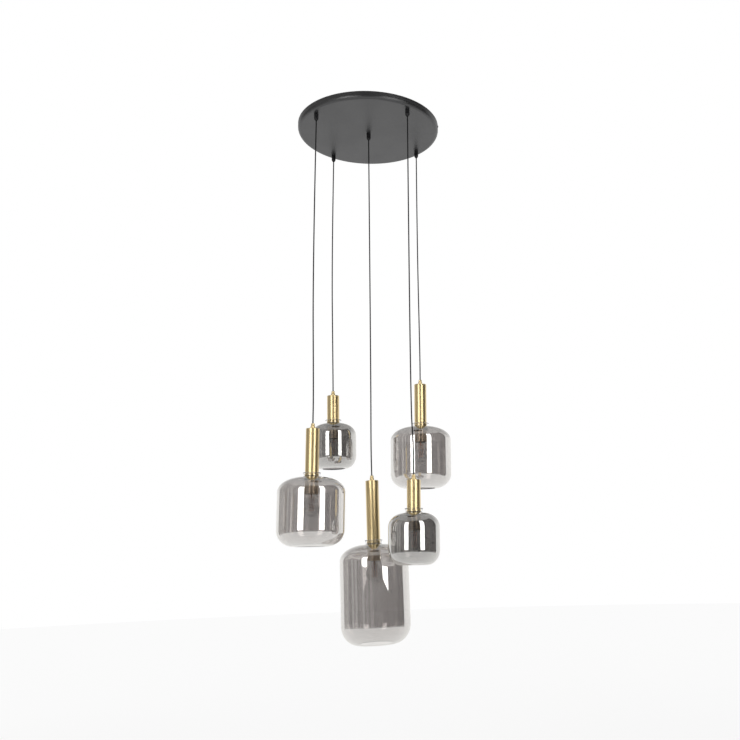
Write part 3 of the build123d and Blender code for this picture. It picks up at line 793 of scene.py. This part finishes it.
class PENDANT_OT_bulbs(bpy.types.Operator):
    """Make the screw caps, clear bulbs and filaments"""
    bl_idname = "pendant.bulbs"
    bl_label = "Bulbs"

    def execute(self, context):
        for pendant in settings().places:
            body = f"{pendant.name}_pendant"
            place = head_place(pendant)
            piece(f"{pendant.name}_lamp_cap", self.cap(), body,
                  [finish_of("nickel")], place, [f"{pendant.name}_bulb_cap"])
            piece(f"{pendant.name}_lamp_glass", self.bulb(), body,
                  [finish_of("clear_glass")], place, [f"{pendant.name}_bulb_glass"])
            piece(f"{pendant.name}_lamp_filament", self.cage(), body,
                  [finish_of("filament")], place, [f"{pendant.name}_filament"])
        return {"FINISHED"}

    def levels(self):
        """Heights of the cap's top, shoulder, floor and rim."""
        head, bulb = settings().head, settings().bulb
        rim = -head.holder_bottom + head.holder_mouth_depth
        top = rim + head.socket_depth - bulb.cap_clearance
        shoulder = top - CAP_SHOULDER_DROP
        return top, shoulder, shoulder - CAP_SHEET, rim

    def radii(self):
        """Radii of the cap: root of its thread, and bore."""
        head, bulb = settings().head, settings().bulb
        root = head.socket_diameter / 2 - bulb.cap_clearance - bulb.thread_depth
        return root, root - CAP_SHEET

    def cap(self):
        """Screw cap with its contact and rounded thread."""
        bulb = settings().bulb
        top, shoulder, floor, rim = self.levels()
        root, bore = self.radii()
        outline = [(0, top), (CONTACT_RADIUS, top), (CONTACT_RADIUS, top - CONTACT_HEIGHT)]
        for step in range(THREAD_TURNS * THREAD_STEPS + 1):
            swell = (1 - math.cos(math.tau * step / THREAD_STEPS)) / 2
            outline.append((root + bulb.thread_depth * swell,
                            shoulder - step * bulb.thread_pitch / THREAD_STEPS))
        outline += [(root, rim), (bore, rim), (bore, floor), (0, floor)]
        return spun(outline, SMALL_TURNS, closed=False)

    def bulb(self):
        """Clear round bulb whose neck is sealed into the cap."""
        head, bulb = settings().head, settings().bulb
        rim, bore = self.levels()[-1], self.radii()[-1]
        wall, radius = bulb.glass_wall, bulb.diameter / 2
        seal, neck = bore - SEAL_FIT, bulb.neck_diameter / 2
        neck_top = -head.holder_bottom + 0.002
        centre = -head.holder_bottom - bulb.centre_drop
        join, handle, steps = 40, 0.42, 12

        def skin(inset):
            """One face, from the seal down to the pole."""
            points = [(seal - inset, rim + SEAL_HEIGHT), (seal - inset, rim)]
            start = Vector((neck - inset, neck_top))
            ball = oval((0, centre), radius - inset, radius - inset, join, -90, 34)
            first = Vector(ball[0])
            slope = Vector((math.sin(math.radians(join)), -math.cos(math.radians(join))))
            reach = (first - start).length * handle
            curve = [start, start + Vector((0, -reach)), first - slope * reach, first]
            for step in range(steps):
                t = step / steps
                weights = ((1 - t) ** 3, 3 * t * (1 - t) ** 2, 3 * t * t * (1 - t), t ** 3)
                spot = sum((w * p for w, p in zip(weights, curve)), Vector((0, 0)))
                points.append(tuple(spot))
            return points + ball[:-1] + [(0, centre - radius + inset)]

        return spun(skin(0) + skin(wall)[::-1], BULB_TURNS)

    def cage(self):
        """Flared stem and cage: upright wires joined by turns at the top and the bottom, between
        two stars of supports."""
        head, bulb = settings().head, settings().bulb
        floor, bore = self.levels()[2], self.radii()[-1]
        top = -head.holder_bottom - bulb.top_drop
        bottom = top - bulb.length
        stem_foot = floor - bulb.stem_length
        flare = bore - bulb.glass_wall - 2 * SEAL_FIT
        stem = bulb.stem_diameter / 2
        outline = [(0, floor), (flare, floor), (flare, floor - 0.002)]
        outline += [(stem + 0.002, floor - 0.006), (stem, floor - 0.012), (stem, stem_foot + stem)]
        outline += oval((0, stem_foot + stem), stem, stem, 0, -90, 5)[1:]
        bm = spun(outline, STEM_TURNS, closed=False)
        rod(bm, (0, 0, stem_foot + 0.001), (0, 0, bottom), bulb.wire)
        wire, support, radius = bulb.wire * FINER, bulb.support * FINER, bulb.circle / 2
        angles = [math.tau * leg / LEGS for leg in range(LEGS)]
        spots = [(radius * math.cos(angle), radius * math.sin(angle)) for angle in angles]
        for leg, (x, y) in enumerate(spots):
            rod(bm, (x, y, bottom), (x, y, top), wire)
            level = top if leg % 2 else bottom
            rod(bm, (x, y, level), (*spots[(leg + 1) % LEGS], level), wire)
            for height in (bottom, top):
                rod(bm, (0, 0, height), (x, y, height), support, sides=6)
        return bm


# ---------------------------------------------------------------- stage

# View fitted to the photograph: its size, the focal length and the optical axis in pixels, then
# the width of the sensor in millimetres, the viewpoint in metres and the turns in radians
PHOTO_SIZE_PX = 740
FOCAL_PX = 860
AXIS_X_PX = 463.1
AXIS_Y_PX = 370.5
SENSOR = 36.0
VIEWPOINT = (0.4547, -3.0706, -1.6551)
VIEW_TURN = math.radians(2.1)
VIEW_PITCH = 0.2142
VIEW_ROLL = -0.0295

# Floor: height, radius, tone, and its own glow as a share of what is seen of it
FLOOR_LEVEL = -2.6
FLOOR_REACH = 14.0
FLOOR_TONE = (0.95, 0.95, 0.95)
FLOOR_GLOW = 0.76

# Surroundings: strength as a light, then strength overhead in reflections and the upward parts of
# a direction between which they dim to it
LIGHT_STRENGTH = 0.90
OVERHEAD_STRENGTH = 0.42
OVERHEAD_START, OVERHEAD_END = 0.15, 0.60

# Strip softboxes: strength and top, then for each its turn round the lamp in degrees, distance,
# half width, sideways ends of its foot, and heights of foot and waist
SOFTBOX_STRENGTH = 4.0
SOFTBOX_TOP = 0.60
SOFTBOXES = {
    "left_softbox": (-26.0, 3.0, 0.46, (-0.075, 0.125), (-1.705, -1.675)),
    "right_softbox": (40.5, 2.2, 0.33, (0.29, 0.33), (-1.78, -1.72)),
}

# Dim flag: turns in degrees where it starts and ends, distance, steps round, top, height over
# which its foot fades, and tone. It is brightest at one X and darkest at another, with streaks
# that multiply its strength
FLAG_TURNS = (-118.0, 112.0)
FLAG_DISTANCE = 3.4
FLAG_STEPS = 48
FLAG_TOP = 2.3
FLAG_FADE = 0.45
FLAG_TONE = (1.0, 0.98, 0.96)
FLAG_BRIGHT, FLAG_BRIGHT_X = 0.32, -3.2
FLAG_DARK, FLAG_DARK_X = 0.04, 2.0
STREAK_LOW, STREAK_HIGH = 0.45, 1.45


def directly_seen(tree, rays):
    """1 for rays that the camera sends, also through glass and in reflections, and 0 for light."""
    clear = combined(tree, "MAXIMUM", rays["Is Camera Ray"], rays["Is Transmission Ray"])
    return combined(tree, "MAXIMUM", clear, rays["Is Glossy Ray"])


def around(turn, distance, height):
    """A point round the lamp. Turn 0 is towards the camera and grows to its right."""
    angle = math.radians(turn - 90) + VIEW_TURN
    return Vector((distance * math.cos(angle), distance * math.sin(angle), height))


class PENDANT_OT_stage(bpy.types.Operator):
    """Set the floor, the soft studio light and the camera"""
    bl_idname = "pendant.stage"
    bl_label = "Stage"

    def execute(self, context):
        context.scene.view_settings.view_transform = "Standard"
        self.camera(context)
        self.floor()
        self.world(context)
        for name, values in SOFTBOXES.items():
            self.softbox(name, *values)
        self.flag()
        return {"FINISHED"}

    def camera(self, context):
        """Camera at the photograph's viewing angle."""
        lens = bpy.data.cameras.new("view")
        lens.sensor_width = SENSOR
        lens.lens = SENSOR * FOCAL_PX / PHOTO_SIZE_PX
        lens.shift_x = (PHOTO_SIZE_PX / 2 - AXIS_X_PX) / PHOTO_SIZE_PX
        lens.shift_y = (AXIS_Y_PX - PHOTO_SIZE_PX / 2) / PHOTO_SIZE_PX
        lens.clip_end = 100
        camera = bpy.data.objects.new("view", lens)
        pitch = Matrix.Rotation(math.pi / 2 + VIEW_PITCH, 4, "X")
        turn = Matrix.Rotation(VIEW_TURN, 4, "Z") @ pitch
        roll = Matrix.Rotation(VIEW_ROLL, 4, "Z")
        camera.matrix_world = Matrix.Translation(VIEWPOINT) @ turn @ roll
        context.scene.collection.objects.link(camera)
        context.scene.camera = camera

    def stage_piece(self, name, bm, material, unseen=False):
        """Finish a bmesh as a piece of the stage. An unseen one lights the lamp, but the camera
        doesn't see it and it casts no shadow."""
        mesh = bpy.data.meshes.new(name)
        bm.to_mesh(mesh)
        bm.free()
        mesh.materials.append(material)
        thing = bpy.data.objects.new(name, mesh)
        bpy.context.scene.collection.objects.link(thing)
        if unseen:
            thing.visible_camera = False
            thing.visible_shadow = False

    def floor(self):
        """Pale floor that runs out to the white background."""
        material, tree = new_material("pale_floor")
        rays = shader(tree, "ShaderNodeLightPath").outputs
        share = combined(tree, "MULTIPLY", directly_seen(tree, rays), FLOOR_GLOW)
        matt = shader(tree, "ShaderNodeBsdfDiffuse", Color=FLOOR_TONE)
        glow = shader(tree, "ShaderNodeEmission", Color=WHITE, Strength=1.0)
        bm = bmesh.new()
        bmesh.ops.create_circle(bm, cap_ends=True, segments=TURNS, radius=FLOOR_REACH,
                                matrix=Matrix.Translation((0, 0, FLOOR_LEVEL)))
        self.stage_piece("floor", bm, surfaced(material, mixed(tree, share, matt, glow)))

    def world(self, context):
        """White surroundings, a little dimmer as a light than as a background, and dimmer overhead
        in reflections."""
        world = bpy.data.worlds.new("studio")
        world.use_nodes = True
        tree = world.node_tree
        tree.nodes.clear()
        rays = shader(tree, "ShaderNodeLightPath").outputs
        seen = directly_seen(tree, rays)
        strength = between(tree, seen, LIGHT_STRENGTH, 1.0, start=0.0, end=1.0)
        way = shader(tree, "ShaderNodeTexCoord").outputs["Generated"]
        upward = shader(tree, "ShaderNodeSeparateXYZ", Vector=way).outputs["Z"]
        overhead = between(tree, upward, 1.0, OVERHEAD_STRENGTH, OVERHEAD_START, OVERHEAD_END)
        dimming = shader(tree, "ShaderNodeMix", data_type="FLOAT", Factor=rays["Is Glossy Ray"],
                         A=1.0, B=overhead).outputs[0]
        level = combined(tree, "MULTIPLY", strength, dimming)
        surface = shader(tree, "ShaderNodeBackground", Color=WHITE, Strength=level)
        output = tree.nodes.new("ShaderNodeOutputWorld")
        tree.links.new(surface.outputs[0], output.inputs["Surface"])
        context.scene.world = world

    def softbox(self, name, turn, distance, half_width, toes, levels):
        """Tall strip softbox that narrows from its waist to its toes."""
        material, tree = new_material(name)
        glow = shader(tree, "ShaderNodeEmission", Color=WHITE, Strength=SOFTBOX_STRENGTH)
        centre = around(turn, distance, 0)
        across = Vector((-centre.y, centre.x, 0)).normalized()
        foot, waist = levels
        outline = ((toes[0], foot), (toes[1], foot), (half_width, waist),
                   (half_width, SOFTBOX_TOP), (-half_width, SOFTBOX_TOP), (-half_width, waist))
        bm = bmesh.new()
        bm.faces.new([bm.verts.new(centre + across * side + Vector((0, 0, height)))
                      for side, height in outline])
        self.stage_piece(name, bm, surfaced(material, glow), unseen=True)

    def flag(self):
        """Dim, streaky surroundings behind the camera, darker on its right. Reflections, glass and
        matt pieces meet them, and they fade out towards their foot."""
        material, tree = new_material("dark_flag")
        place = shader(tree, "ShaderNodeTexCoord").outputs["Object"]
        axes = shader(tree, "ShaderNodeSeparateXYZ", Vector=place).outputs
        dim = between(tree, axes["X"], FLAG_BRIGHT, FLAG_DARK, FLAG_BRIGHT_X, FLAG_DARK_X)
        noise = grain(tree, 1.9, stretch=(1, 1, 0.02), detail=3)
        streaks = between(tree, noise, STREAK_LOW, STREAK_HIGH)
        glow = shader(tree, "ShaderNodeEmission", Color=FLAG_TONE,
                      Strength=combined(tree, "MULTIPLY", dim, streaks))
        clear = shader(tree, "ShaderNodeBsdfTransparent")
        share = between(tree, axes["Z"], 0.0, 1.0, FLOOR_LEVEL, FLOOR_LEVEL + FLAG_FADE)
        bm = bmesh.new()
        start, end = FLAG_TURNS
        turns = [start + (end - start) * step / FLAG_STEPS for step in range(FLAG_STEPS + 1)]
        base = [bm.verts.new(around(turn, FLAG_DISTANCE, FLOOR_LEVEL)) for turn in turns]
        edges = [bm.edges.new(pair) for pair in zip(base, base[1:])]
        raised = bmesh.ops.extrude_edge_only(bm, edges=edges)["geom"]
        bmesh.ops.translate(bm, vec=(0, 0, FLAG_TOP - FLOOR_LEVEL),
                            verts=[v for v in raised if isinstance(v, bmesh.types.BMVert)])
        surface = surfaced(material, mixed(tree, share, clear, glow))
        self.stage_piece("dark_flag", bm, surface, unseen=True)


# ---------------------------------------------------------------- panel and main

class PENDANT_PT_sidebar(bpy.types.Panel):
    """Steps of the model and their sizes"""
    bl_idname = "PENDANT_PT_sidebar"
    bl_label = "Cluster Pendant"
    bl_space_type = "VIEW_3D"
    bl_region_type = "UI"
    bl_category = "Pendant"

    def draw(self, context):
        column = self.layout.column()
        for step in STEPS:
            column.operator(step.bl_idname)
        for group in ("canopy", "head", "glass", "bulb", "finish"):
            values = getattr(settings(), group)
            column.label(text=group.capitalize())
            for name in values.bl_rna.properties.keys():
                if name not in ("rna_type", "name"):
                    column.prop(values, name)


STEPS = (PENDANT_OT_stage, PENDANT_OT_canopy, PENDANT_OT_cords, PENDANT_OT_tubes,
         PENDANT_OT_holders, PENDANT_OT_shades, PENDANT_OT_bulbs)
GROUPS = (PendantPlace, CanopySizes, HeadSizes, GlassSizes, BulbSizes, Finishes, PendantSettings)


def register():
    """Register the groups, the steps and the panel."""
    for one in (*GROUPS, *STEPS, PENDANT_PT_sidebar):
        bpy.utils.register_class(one)
    bpy.types.Scene.cluster_pendant = bpy.props.PointerProperty(type=PendantSettings)


def unregister():
    """Take them all away again."""
    del bpy.types.Scene.cluster_pendant
    for one in reversed((*GROUPS, *STEPS, PENDANT_PT_sidebar)):
        bpy.utils.unregister_class(one)


def main():
    """Build every piece in order."""
    register()
    fill_places()
    bpy.ops.pendant.stage()
    bpy.ops.pendant.canopy()
    bpy.ops.pendant.cords()
    bpy.ops.pendant.tubes()
    bpy.ops.pendant.holders()
    bpy.ops.pendant.shades()
    bpy.ops.pendant.bulbs()


if __name__ == "__main__":
    main()
